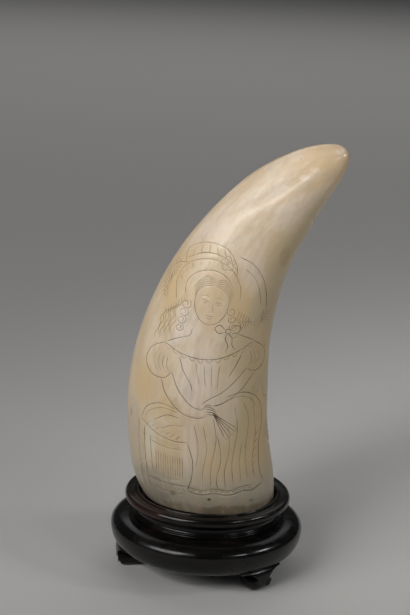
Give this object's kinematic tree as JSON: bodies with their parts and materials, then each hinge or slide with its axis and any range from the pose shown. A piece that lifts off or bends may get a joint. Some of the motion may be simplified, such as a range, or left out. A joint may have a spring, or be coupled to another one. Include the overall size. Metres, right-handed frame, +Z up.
{
  "type": "scrimshaw whale tooth",
  "caption": "Curved whale tooth with an engraved front, standing upright in a round turned hardwood stand with carved scroll feet.",
  "frame": {"origin": "on the table, under the middle of the whole outline's bounding box", "axes": "+Z up; the tooth curves towards +X and its engraved side faces -Y"},
  "size_m": [0.0942, 0.084, 0.1887],
  "materials": {
    "ivory": "whale-tooth dentine, hand polished to a soft gloss, cream with tan staining, fine engraved lines rubbed with black and sepia pigment",
    "blackwood": "ebonised hardwood, turned and carved, dark and glossy with a reddish brown showing through"
  },
  "bodies": {
    "root": {"whale_tooth": "ivory", "wooden_stand": "blackwood"}
  },
  "joints": []
}
